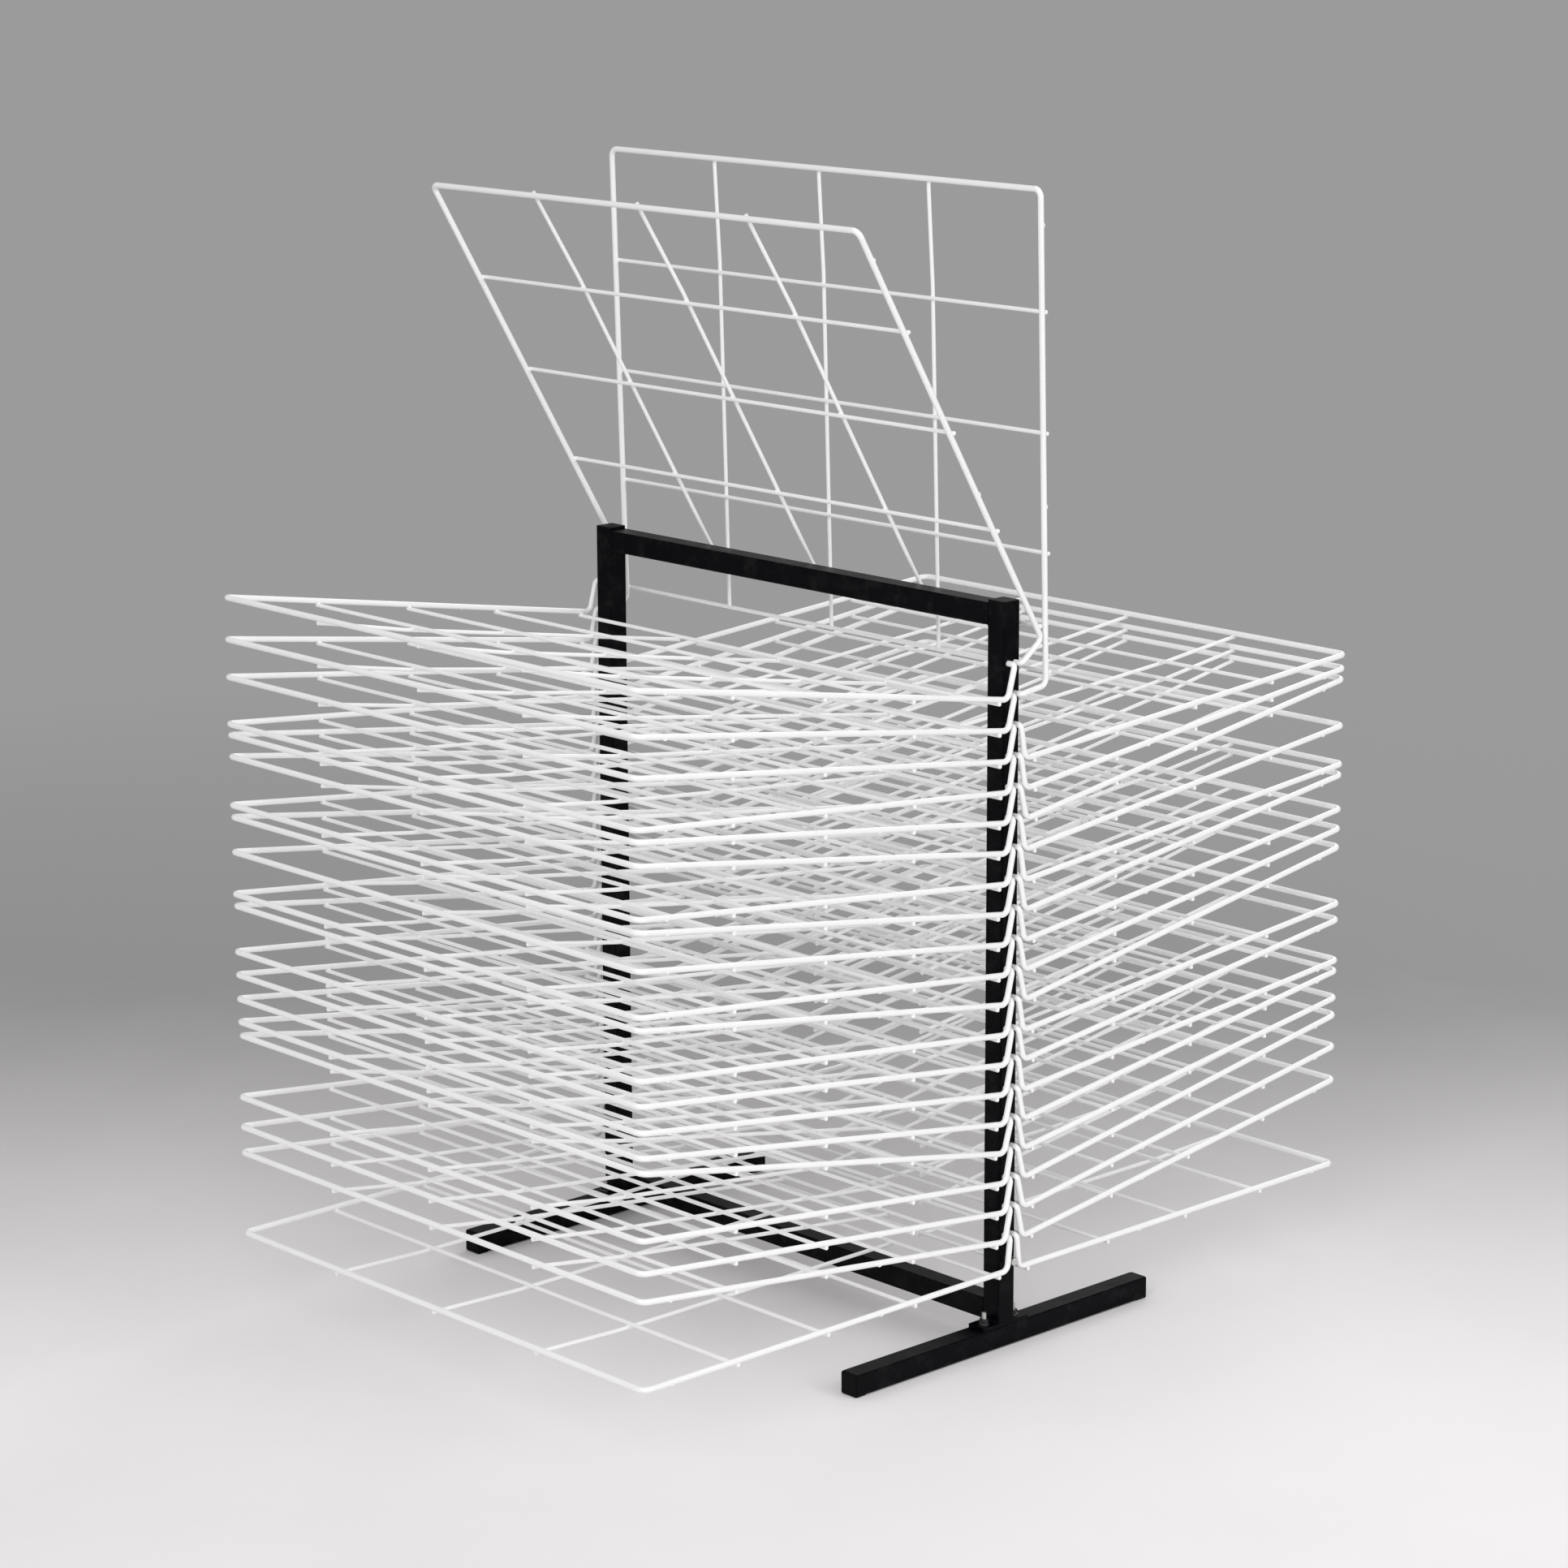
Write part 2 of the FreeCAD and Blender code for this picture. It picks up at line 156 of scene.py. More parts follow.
def noise(tree, place, scale, detail=2.0, roughness=0.5):
    """Cloudy noise. It seldom leaves the range from NOISE_LOW to NOISE_HIGH."""
    node = add_node(tree, "ShaderNodeTexNoise", {
        "Vector": place, "Scale": scale, "Detail": detail, "Roughness": roughness})
    return node.outputs["Fac"]


def spread(tree, cloud, to_low=0.0, to_high=1.0):
    """Noise stretched to run from one value to another."""
    return remap(tree, cloud, NOISE_LOW, NOISE_HIGH, to_low, to_high)


def add_bump(tree, shader, height, strength, distance):
    """Bump from a height, fed to a shader's normal."""
    bump = add_node(tree, "ShaderNodeBump", {
        "Height": height, "Strength": strength, "Distance": distance})
    feed(tree, shader, {"Normal": bump.outputs["Normal"]})


def object_place(tree):
    """Where a point lies on the object itself, so that the pattern rides with it."""
    return tree.nodes.new("ShaderNodeTexCoord").outputs["Object"]


print("noise is stretched from", NOISE_LOW, "to", NOISE_HIGH)


# %% Helpers for groups and materials
def new_group(name, inputs, outputs):
    """An empty node group. inputs and outputs hold each socket's name, kind and default."""
    tree = bpy.data.node_groups.new(name, "ShaderNodeTree")
    for label, kind, default in inputs:
        socket = tree.interface.new_socket(label, in_out="INPUT", socket_type=kind)
        if default is not None:
            socket.default_value = default
    for label, kind in outputs:
        tree.interface.new_socket(label, in_out="OUTPUT", socket_type=kind)
    group_in = tree.nodes.new("NodeGroupInput").outputs
    group_out = tree.nodes.new("NodeGroupOutput").inputs
    return tree, group_in, group_out


def place_group(tree, group, values):
    """A group placed in a material, with its inputs fed: returns its outputs."""
    return add_node(tree, "ShaderNodeGroup", values, node_tree=group).outputs


def new_material(name):
    """A material with its Principled BSDF: returns the material, its tree and the shader."""
    material = bpy.data.materials.new(name)
    material.use_nodes = True
    tree = material.node_tree
    return material, tree, tree.nodes["Principled BSDF"]


print("helpers for groups and materials ready")

# %% [markdown]
# ## Shared effects
# - **Surface waves**: a coating is never quite flat. Two sizes of noise give the slow
#   swell of a thick skin and the fine orange peel on top of it.
# - **Edge wear and highlight**: Geometry's Pointiness is high on outer edges. Broken up with noise, it
#   paints those edges paler: partly where handling has rubbed the finish, partly a painted highlight.
# - **Dust**: it settles on faces that look up, in loose patches.

# %% Surface waves
NUMBER_SOCKET = "NodeSocketFloat"
PLACE_SOCKET = "NodeSocketVector"

waves, waves_in, waves_out = new_group(
    "surface_waves",
    [("Place", PLACE_SOCKET, None), ("Swell Scale", NUMBER_SOCKET, 120.0),
     ("Peel Scale", NUMBER_SOCKET, 900.0), ("Peel Share", NUMBER_SOCKET, 0.3)],
    [("Height", NUMBER_SOCKET), ("Swell", NUMBER_SOCKET)])
swell = noise(waves, waves_in["Place"], waves_in["Swell Scale"], detail=1.0)
peel = noise(waves, waves_in["Place"], waves_in["Peel Scale"], detail=2.0)
peel_part = math_node(waves, "MULTIPLY", peel, waves_in["Peel Share"])
waves.links.new(math_node(waves, "ADD", swell, peel_part), waves_out["Height"])
waves.links.new(swell, waves_out["Swell"])
print("group", waves.name, "puts out", [socket.name for socket in waves_out if socket.name])

# %% Edge wear and painted edge highlight
breakup_start = 0.5
breakup_full = 0.66

wear_and_highlight, wear_and_highlight_in, wear_and_highlight_out = new_group(
    "edge_wear_and_highlight",
    [("Place", PLACE_SOCKET, None), ("Scale", NUMBER_SOCKET, 60.0),
     ("Start", NUMBER_SOCKET, 0.54), ("Full", NUMBER_SOCKET, 0.66)],
    [("Mask", NUMBER_SOCKET)])
# The mask paints outer edges paler: partly wear, partly a painted highlight along the edges.
pointed = add_node(wear_and_highlight, "ShaderNodeNewGeometry").outputs["Pointiness"]
edge = remap(wear_and_highlight, pointed, wear_and_highlight_in["Start"], wear_and_highlight_in["Full"])
broken = noise(wear_and_highlight, wear_and_highlight_in["Place"], wear_and_highlight_in["Scale"], detail=4.0, roughness=0.7)
edge_breakup = remap(wear_and_highlight, broken, breakup_start, breakup_full)
wear_and_highlight.links.new(math_node(wear_and_highlight, "MULTIPLY", edge, edge_breakup), wear_and_highlight_out["Mask"])
print("group", wear_and_highlight.name, "shows wear where noise is over", breakup_start)

# %% Dust
least_upward = 0.4
patch_start = 0.35
patch_full = 0.75

dust, dust_in, dust_out = new_group(
    "settled_dust",
    [("Place", PLACE_SOCKET, None), ("Scale", NUMBER_SOCKET, 30.0), ("Amount", NUMBER_SOCKET, 0.3)],
    [("Mask", NUMBER_SOCKET)])
facing = add_node(dust, "ShaderNodeSeparateXYZ", {
    0: add_node(dust, "ShaderNodeNewGeometry").outputs["Normal"]})
upward = remap(dust, facing.outputs["Z"], least_upward, 1.0)
clouds = noise(dust, dust_in["Place"], dust_in["Scale"], detail=6.0, roughness=0.65)
lying = math_node(dust, "MULTIPLY", upward, remap(dust, clouds, patch_start, patch_full))
dust.links.new(math_node(dust, "MULTIPLY", lying, dust_in["Amount"]), dust_out["Mask"])
print("group", dust.name, "starts where a normal points up by", least_upward)

# %% [markdown]
# ## White coated wire
# The shelves are steel wire dipped in white plastic. The skin is thick and glossy, it
# swells slowly along the wire, and it is a little duller where dust lies. A glossy
# Principled shader with two sizes of bump gives that. The wires are a few millimetres
# thick, so the swell is only a little longer than a wire is wide.

# %% The coating of the shelves
coat_white = (0.93, 0.93, 0.93, 1)
coat_bright = (0.955, 0.955, 0.955, 1)
coat_dust = (0.84, 0.83, 0.81, 1)
coat_smooth = 0.28
coat_rough = 0.34
coat_dust_dulling = 0.5


def make_coating():
    material, tree, shader = new_material("white_coating")
    place = object_place(tree)
    skin = place_group(tree, waves, {
        "Place": place, "Swell Scale": 95.0, "Peel Scale": 500.0, "Peel Share": 0.05})
    haze = place_group(tree, dust, {"Place": place, "Scale": 60.0, "Amount": 0.08})["Mask"]
    drift = spread(tree, noise(tree, place, scale=9.0, detail=3.0))
    tone = blend_colours(tree, drift, coat_white, coat_bright)
    gloss = spread(tree, skin["Swell"], coat_smooth, coat_rough)
    dulled = math_node(tree, "ADD", gloss, math_node(tree, "MULTIPLY", haze, coat_dust_dulling))
    feed(tree, shader, {
        "Base Color": blend_colours(tree, haze, tone, coat_dust),
        "Roughness": dulled,
        "IOR": 1.5, "Coat Weight": 0.15, "Coat Roughness": 0.12})
    add_bump(tree, shader, skin["Height"], strength=0.06, distance=0.0005)
    return material


coating = make_coating()
print("material", coating.name, "has", len(coating.node_tree.nodes), "nodes")

# %% [markdown]
# ## Black powder coat
# The frame is sprayed with powder and baked. The skin is thin, has a faint gloss and is
# covered in fine orange peel. Its edges are painted a little paler: partly wear from hands and
# shelves, partly a painted highlight along the edges. The level faces hold a trace of dust. The
# outer faces of the posts also carry short strokes where the shelves' legs brush past them.
# Those strokes are stretched noise behind a mask that is open only on the outer faces, and they change the gloss
# alone.

# %% The paint of the frame
post_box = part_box("right_post")
post_face = post_box[1].x
face_skin = 0.0006

paint_black = (0.001, 0.001, 0.002, 1)
paint_rubbed_and_highlit = (0.009, 0.009, 0.010, 1)
paint_dust = (0.16, 0.155, 0.15, 1)
paint_smooth = 0.30
paint_rough = 0.42
stroke_stretch = (1, 900, 60)
stroke_start = 0.62
stroke_full = 0.74
stroke_dulling = 0.16
paint_dust_dulling = 1.2


def leg_strokes(tree, place):
    """A mask of the strokes that the shelves' legs leave on the posts' outer faces."""
    sideways = add_node(tree, "ShaderNodeSeparateXYZ", {0: place}).outputs["X"]
    outer = remap(tree, math_node(tree, "ABSOLUTE", sideways), post_face - face_skin, post_face)
    stretched = add_node(tree, "ShaderNodeMapping", {"Vector": place, "Scale": stroke_stretch})
    streaks = noise(tree, stretched.outputs[0], scale=1.0, detail=3.0)
    return math_node(tree, "MULTIPLY", outer, remap(tree, streaks, stroke_start, stroke_full))


def make_paint():
    material, tree, shader = new_material("black_powder_coat")
    place = object_place(tree)
    skin = place_group(tree, waves, {
        "Place": place, "Swell Scale": 160.0, "Peel Scale": 1400.0, "Peel Share": 0.8})
    rubbed_and_highlit = place_group(tree, wear_and_highlight, {"Place": place, "Scale": 45.0})["Mask"]
    fallen = place_group(tree, dust, {"Place": place, "Scale": 24.0, "Amount": 0.004})["Mask"]
    # Paler edges on the black paint: partly wear, partly a painted edge highlight.
    black = blend_colours(tree, rubbed_and_highlit, paint_black, paint_rubbed_and_highlit)
    cloudy = spread(tree, noise(tree, place, scale=14.0, detail=4.0), paint_smooth, paint_rough)
    brushed = math_node(tree, "MULTIPLY", leg_strokes(tree, place), stroke_dulling)
    dusted = math_node(tree, "MULTIPLY", fallen, paint_dust_dulling)
    feed(tree, shader, {
        "Base Color": blend_colours(tree, fallen, black, paint_dust),
        "Roughness": math_node(tree, "ADD", math_node(tree, "ADD", cloudy, brushed), dusted),
        "Specular IOR Level": 0.06})
    add_bump(tree, shader, skin["Height"], strength=0.25, distance=0.0003)
    return material


paint = make_paint()
print("material", paint.name, "has", len(paint.node_tree.nodes), "nodes")

# %% [markdown]
# ## Plastic caps, zinc and dark steel
# The caps are moulded polyethylene: duller than the paint, with a fine spark-eroded
# grain. The bolts are zinc plated, and the nuts are left dark.

# %% The plastic of the caps
plastic_black = (0.0015, 0.0015, 0.002, 1)
plastic_rubbed_and_highlit = (0.010, 0.010, 0.010, 1)
plastic_smooth = 0.48
plastic_rough = 0.62


def make_plastic():
    material, tree, shader = new_material("black_plastic")
    place = object_place(tree)
    grain = noise(tree, place, scale=2600.0, detail=2.0)
    rubbed_and_highlit = place_group(tree, wear_and_highlight, {"Place": place, "Scale": 90.0})["Mask"]
    # Paler edges on the caps: partly wear, partly a painted edge highlight.
    feed(tree, shader, {
        "Base Color": blend_colours(tree, rubbed_and_highlit, plastic_black, plastic_rubbed_and_highlit),
        "Roughness": spread(tree, grain, plastic_smooth, plastic_rough),
        "Specular IOR Level": 0.08})
    add_bump(tree, shader, grain, strength=0.3, distance=0.0002)
    return material


plastic = make_plastic()
print("material", plastic.name, "has", len(plastic.node_tree.nodes), "nodes")

# %% The metal of the bolts and nuts
zinc_light = (0.72, 0.72, 0.70, 1)
zinc_dark = (0.52, 0.52, 0.50, 1)
steel_light = (0.10, 0.10, 0.105, 1)
steel_dark = (0.05, 0.05, 0.055, 1)


def make_metal(name, light, dark, smooth, rough):
    """Steel that varies between two tones and two roughnesses."""
    material, tree, shader = new_material(name)
    cloud = spread(tree, noise(tree, object_place(tree), scale=420.0, detail=4.0))
    feed(tree, shader, {
        "Base Color": blend_colours(tree, cloud, light, dark),
        "Roughness": remap(tree, cloud, 0.0, 1.0, smooth, rough),
        "Metallic": 1.0})
    add_bump(tree, shader, cloud, strength=0.15, distance=0.0002)
    return material


zinc = make_metal("zinc_plate", zinc_light, zinc_dark, smooth=0.22, rough=0.38)
dark_steel = make_metal("dark_steel", steel_light, steel_dark, smooth=0.35, rough=0.5)
print("materials:", zinc.name, dark_steel.name)

# %% [markdown]
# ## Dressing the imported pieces
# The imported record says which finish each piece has. Each finish gets one of the
# materials above, so nothing has to be chosen piece by piece.

# %% Give each node its material
finishes = {"frame_paint": paint, "shelf_coating": coating, "black_plastic": plastic,
            "zinc": zinc, "dark_steel": dark_steel}
for part in frame["record"]["subparts"]:
    for slot in nodes[part["node"]].material_slots:
        slot.material = finishes[part["material_slot"]]

# %% [markdown]
# ## Where the wires cross
# Dipping leaves a rounded fillet of plastic in every corner between two wires. The
# imported shelves have sharp corners there. A boolean union with bevels would round them,
# but bevels break down where two round wires meet at a slant. A surer way is to join
# short lengths of wire, remesh them into one skin and smooth it: the smoothing sinks the
# skin into the wires everywhere except in the corners, where it fills them.
#
# A shelf's own measures come from the imported level shelf at the bottom of the front
# stack. In the shelf's own space the hooks are at the origin, the wires run out along +Y
# and the legs hang down along -Z.

# %% Measure the level shelf
rim_diameter = 0.0066
wire_diameter = 0.0045
weld_sink = 0.0005
level_shelf = "front_shelf_20"

rim_radius = rim_diameter / 2
wire_radius = wire_diameter / 2
level_hook = hinges[level_shelf]
level_low, level_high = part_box(level_shelf)
cross_drop = rim_radius + wire_radius - weld_sink
long_drop = cross_drop + wire_diameter - weld_sink
rim_x = level_high.x - rim_radius
shelf_depth = level_hook.y - level_low.y - rim_radius
rim_level = level_low.z + wire_radius + long_drop - level_hook.z
cross_level = rim_level - cross_drop
print("rim at x", round(rim_x, 4), "depth", round(shelf_depth, 4), "leg", round(-rim_level, 4))

# %% One rounded crossing
skin_voxel = 0.0009
smooth_passes = 8
smooth_share = 0.6
wire_sides = 20


def crossing_skin(name, wires):
    """The skin round short wires, each given as its start, end and diameter."""
    mesh = bpy.data.meshes.new(name)
    shape = bmesh.new()
    for start, end, diameter in wires:
        run = end - start
        turn = run.to_track_quat("Z", "Y").to_matrix().to_4x4()
        bmesh.ops.create_cone(
            shape, cap_ends=True, segments=wire_sides, radius1=diameter / 2, radius2=diameter / 2,
            depth=run.length, matrix=Matrix.Translation((start + end) / 2) @ turn)
    shape.to_mesh(mesh)
    shape.free()
    lump = link(name, mesh)
    remesh = lump.modifiers.new("skin", "REMESH")
    remesh.mode = "VOXEL"
    remesh.voxel_size = skin_voxel
    smooth = lump.modifiers.new("flow", "SMOOTH")
    smooth.iterations = smooth_passes
    smooth.factor = smooth_share
    shown = lump.evaluated_get(bpy.context.evaluated_depsgraph_get())
    skin = bpy.data.meshes.new_from_object(shown)
    bpy.data.objects.remove(lump)
    return skin


print("skins are made of voxels of", skin_voxel, "m")

# %% The four kinds of crossing
stub = 0.0055
under_rim_share = 1.3
side_inset = 0.0006
tail_overhang = 0.001
front_reach = 0.0014

across, out, down = Vector((1, 0, 0)), Vector((0, 1, 0)), Vector((0, 0, -1))
rim_stub = stub * under_rim_share
side_reach = rim_radius - side_inset
tail_reach = wire_radius + tail_overhang
under_rim = down * cross_drop
under_cross = down * (long_drop - cross_drop)
side_skin = crossing_skin("side_crossing", [
    (-out * stub, out * stub, rim_diameter),
    (under_rim - across * rim_stub, under_rim + across * side_reach, wire_diameter)])
middle_skin = crossing_skin("middle_crossing", [
    (-across * stub, across * stub, wire_diameter),
    (under_cross - out * stub, under_cross + out * stub, wire_diameter)])
tail_skin = crossing_skin("tail_crossing", [
    (-across * stub, across * stub, wire_diameter),
    (under_cross - out * tail_reach, under_cross + out * stub, wire_diameter)])
front_skin = crossing_skin("front_crossing", [
    (-across * stub, across * stub, rim_diameter),
    (under_rim - out * rim_stub, under_rim + out * front_reach, wire_diameter)])
for skin in (side_skin, middle_skin, tail_skin, front_skin):
    print(skin.name, len(skin.polygons), "faces")

# %% [markdown]
# ## A full set of crossings for one shelf
# Every shelf is the same weldment, so its crossings are gathered once into one mesh, in
# the shelf's own space. The two small nubs on each side wire are where the shelf hung in
# the dip.

# %% The nubs
nub_places = (0.37, 0.93)
nub_radius = 0.0021
nub_stretch = (0.8, 1.5, 1)
nub_fineness = 3
nub_out = rim_radius * 0.42
nub_down = rim_radius * 0.62


def nub_mesh():
    """A small round nub, longer along its wire than across it."""
    mesh = bpy.data.meshes.new("nub")
    shape = bmesh.new()
    bmesh.ops.create_icosphere(shape, subdivisions=nub_fineness, radius=nub_radius)
    bmesh.ops.scale(shape, vec=nub_stretch, verts=shape.verts)
    shape.to_mesh(mesh)
    shape.free()
    return mesh


nub = nub_mesh()
print("a nub has", len(nub.polygons), "faces")

# %% Gather the crossings
rear_inset = 0.018
cross_count = 4
long_count = 3

cross_spacing = (shelf_depth - rear_inset) / cross_count
cross_places = [rear_inset + number * cross_spacing for number in range(cross_count)]
long_places = [2 * rim_x * number / (long_count + 1) - rim_x for number in range(1, long_count + 1)]
half_turn = Matrix.Rotation(math.pi, 4, "Z")


def gather(name, placed):
    """One smooth mesh made of many, each given with its place."""
    shape = bmesh.new()
    for mesh, matrix in placed:
        copy = mesh.copy()
        copy.transform(matrix)
        shape.from_mesh(copy)
        bpy.data.meshes.remove(copy)
    for face in shape.faces:
        face.smooth = True
    whole = bpy.data.meshes.new(name)
    shape.to_mesh(whole)
    shape.free()
    return whole


def shelf_crossings():
    """Every crossing and nub of one shelf. The left side's are the right's, half a turn on."""
    placed = []
    for place in cross_places:
        placed.append((side_skin, Matrix.Translation((rim_x, place, rim_level))))
        placed.append((side_skin, half_turn @ Matrix.Translation((rim_x, -place, rim_level))))
    for x in long_places:
        placed.append((tail_skin, Matrix.Translation((x, cross_places[0], cross_level))))
        for place in cross_places[1:]:
            placed.append((middle_skin, Matrix.Translation((x, place, cross_level))))
        placed.append((front_skin, Matrix.Translation((x, shelf_depth, rim_level))))
    for share in nub_places:
        for side in (-1, 1):
            spot = (side * (rim_x + nub_out), share * shelf_depth, rim_level - nub_down)
            placed.append((nub, Matrix.Translation(spot)))
    return gather("coating_fillets", placed)


fillets = shelf_crossings()
fillets.materials.append(coating)
print("one shelf has", len(fillets.polygons), "fillet faces")

# %% [markdown]
# ## Turning the fillets to each shelf
# The shelves lie at different tilts. A shelf's tilt is the direction, seen from its
# hooks, of its farthest point, compared with the same direction on the level shelf.
# One mesh could be shared by forty turned objects, but a turned object's box is larger
# than what is in it. So each shelf gets its own copy, turned point by point, and every
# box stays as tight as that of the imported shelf.

# %% Measure the tilts
def side_of(name):
    """-1 for a front shelf, whose wires run out towards -Y, and 1 for a back shelf."""
    return -1 if name.startswith("front") else 1


def reach_angle(name):
    """Direction of a shelf's farthest point from its hooks, as an angle above level."""
    hook = hinges[name]
    farthest, angle = 0.0, 0.0
    for vertex in nodes[name].data.vertices:
        away = vertex.co.y - hook.y
        rise = vertex.co.z - hook.z
        if away * away + rise * rise > farthest:
            farthest = away * away + rise * rise
            angle = math.atan2(rise, away * side_of(name))
    return angle


level_angle = reach_angle(level_shelf)
tilts = {name: reach_angle(name) - level_angle for name in shelf_names}
print("tilts:", [round(math.degrees(tilts[name]), 1) for name in shelf_names])

# %% Place the fillets on all forty shelves
for name in shelf_names:
    outward = half_turn if side_of(name) < 0 else Matrix.Identity(4)
    turned = fillets.copy()
    tilt = Matrix.Rotation(tilts[name], 4, "X")
    turned.transform(Matrix.Translation(hinges[name]) @ outward @ tilt)
    piece = link(name + "_fillets", turned)
    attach(piece, name)
print("shelves with fillets:", len(shelf_names))

# %% [markdown]
# ## Threaded bolts and chamfered nuts
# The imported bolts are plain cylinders. A thread is a ridge that climbs one pitch per
# turn, so a lathe profile can make it: the radius at each point depends on its height
# and on how far round it is. The same lathe makes the nut, whose radius follows the six
# flats and whose corners are chamfered where the cone of the chamfer meets them.

# %% A lathe whose radius may change round the turn
lathe_sides = 48
sharp_angle = math.radians(40)


def lathe(name, levels, radius_at, material):
    """A closed turned solid. radius_at gives the radius and height at a level and an angle."""
    shape = bmesh.new()
    rings = []
    for level in levels:
        ring = []
        for step in range(lathe_sides):
            angle = 2 * math.pi * step / lathe_sides
            radius, height = radius_at(level, angle)
            ring.append(shape.verts.new((radius * math.cos(angle), radius * math.sin(angle), height)))
        rings.append(ring)
    for low, high in zip(rings, rings[1:]):
        for step in range(lathe_sides):
            following = (step + 1) % lathe_sides
            shape.faces.new((low[step], low[following], high[following], high[step]))
    shape.faces.new(list(reversed(rings[0])))
    shape.faces.new(rings[-1])
    for face in shape.faces:
        face.smooth = True
    mesh = bpy.data.meshes.new(name)
    shape.to_mesh(mesh)
    shape.free()
    mesh.materials.append(material)
    mesh.set_sharp_from_angle(angle=sharp_angle)
    return mesh


print("lathe has", lathe_sides, "sides")

# %% Measure the bolts and nuts
bolt_low, bolt_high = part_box("foot_bolts")
nut_low, nut_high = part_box("foot_nuts")
head_radius = 0.0065
head_height = 0.001
shank_radius = 0.003
bolt_height = bolt_high.z - bolt_low.z
nut_base = nut_low.z - bolt_low.z
nut_height = nut_high.z - nut_low.z
print("bolt is", round(bolt_height, 4), "m long and the nut", round(nut_height, 4), "m high")

# %% The bolt
head_rows = 8
head_rim_share = 0.55
thread_pitch = 0.001
thread_depth = 0.00045
thread_rows = 10
tip_depth = thread_depth * 1.6


def bolt_radius_at(level, angle):
    """The bolt's radius and height at a level, which is its part's name and a value."""
    kind, value = level
    if kind == "head":
        dome = math.sin(value * math.pi / 2)
        return head_radius * (head_rim_share + (1 - head_rim_share) * dome), head_height * value
    if kind == "shank":
        return shank_radius, value
    if kind == "tip":
        return shank_radius - tip_depth, value
    phase = (value / thread_pitch - angle / (2 * math.pi)) % 1.0
    ridge = abs(2 * phase - 1)
    taper = min(1.0, (bolt_height - value) / thread_pitch)
    return shank_radius - thread_depth * (1 - ridge) - tip_depth * (1 - taper), value


def bolt_mesh():
    """A round-headed bolt that stands on its head, threaded from the nut to its tip."""
    head_levels = [("head", row / head_rows) for row in range(head_rows + 1)]
    shank_levels = [("shank", head_height), ("shank", nut_base)]
    rows = int((bolt_height - nut_base) / thread_pitch * thread_rows)
    thread_levels = [("thread", nut_base + row * thread_pitch / thread_rows) for row in range(1, rows)]
    tip_levels = [("tip", bolt_height)]
    return lathe("bolt", head_levels + shank_levels + thread_levels + tip_levels, bolt_radius_at, zinc)


bolt = bolt_mesh()
print("bolt has", len(bolt.polygons), "faces")

# %% The nut
nut_flats = 0.010
nut_flat = nut_flats / 2
nut_chamfer = nut_flat * 1.01
chamfer_slope = math.tan(math.radians(30))
dish_radius = shank_radius * 1.12
mouth_radius = shank_radius * 0.9
mouth_depth = 0.0006


def nut_radius_at(level, angle):
    """The nut's radius and height at a named level."""
    corner = (angle % (math.pi / 3)) - math.pi / 6
    hexagon = nut_flat / math.cos(corner)
    end = min(hexagon, nut_chamfer)
    cut = max(0.0, hexagon - nut_chamfer) * chamfer_slope
    rows = {"base": (end, 0.0),
            "low": (hexagon, cut),
            "high": (hexagon, nut_height - cut),
            "top": (end, nut_height),
            "dish": (dish_radius, nut_height),
            "mouth": (mouth_radius, nut_height - mouth_depth)}
    return rows[level]


nut = lathe("nut", ["base", "low", "high", "top", "dish", "mouth"], nut_radius_at, dark_steel)
print("nut has", len(nut.polygons), "faces")

# %% Place the bolts and nuts
bolt_x = bolt_high.x - head_radius
bolt_y = bolt_high.y - head_radius
for word_x, x in (("left", -bolt_x), ("right", bolt_x)):
    for word_y, y in (("front", -bolt_y), ("back", bolt_y)):
        ending = "_%s_%s" % (word_x, word_y)
        made = link("foot_bolt" + ending, bolt)
        made.location = (x, y, bolt_low.z)
        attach(made, "frame")
        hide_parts("foot_bolts")
        made = link("foot_nut" + ending, nut)
        made.location = (x, y, nut_low.z)
        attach(made, "frame")
        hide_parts("foot_nuts")
print("bolts at x", round(bolt_x, 4), "and y", round(bolt_y, 4))

# %% [markdown]
# ## Welds
# The tubes are joined by hand-made welds under the paint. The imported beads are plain, and
# a real bead has ripples, one for each pause of the torch. A texture could only fake them
# on a smooth bead, so the bead is built as a row of arches whose height swings with the
# ripples and sinks at both ends. Two short blobs hold each face of a bar, and a longer
# bead lies in each corner.

# %% A rippled bead
ripple_pitch = 0.0016
ripple_swing = 0.16
ripple_bow = 0.0007
arch_steps = 10
rows_per_ripple = 7
end_share = 0.3


def weld_bead(name, length, width, proud, root):
    """A bead along X that rises along Z. Its root goes down into the joint."""
    shape = bmesh.new()
    rows = round(length / ripple_pitch * rows_per_ripple)
    sections = []
    for row in range(rows + 1):
        x = length * row / rows
        from_end = min(1.0, min(x, length - x) / (width / 2))
        swell = end_share + (1 - end_share) * math.sqrt(1 - (1 - from_end) ** 2)
        ripple = 1 + ripple_swing * math.cos(2 * math.pi * x / ripple_pitch)
        section = []
        for step in range(arch_steps + 1):
            angle = math.pi * step / arch_steps
            section.append(shape.verts.new((
                x + ripple_bow * swell * math.sin(angle),
                width / 2 * swell * math.cos(angle),
                proud * swell * ripple * math.sin(angle))))
        section.append(shape.verts.new((x, 0, -root)))
        sections.append(section)
    for near, far in zip(sections, sections[1:]):
        for step in range(len(near)):
            following = (step + 1) % len(near)
            shape.faces.new((near[step], far[step], far[following], near[following]))
    shape.faces.new(sections[0])
    shape.faces.new(list(reversed(sections[-1])))
    bmesh.ops.recalc_face_normals(shape, faces=shape.faces)
    for face in shape.faces:
        face.smooth = True
    mesh = bpy.data.meshes.new(name)
    shape.to_mesh(mesh)
    shape.free()
    mesh.materials.append(paint)
    return mesh


print("a ripple every", ripple_pitch, "m")

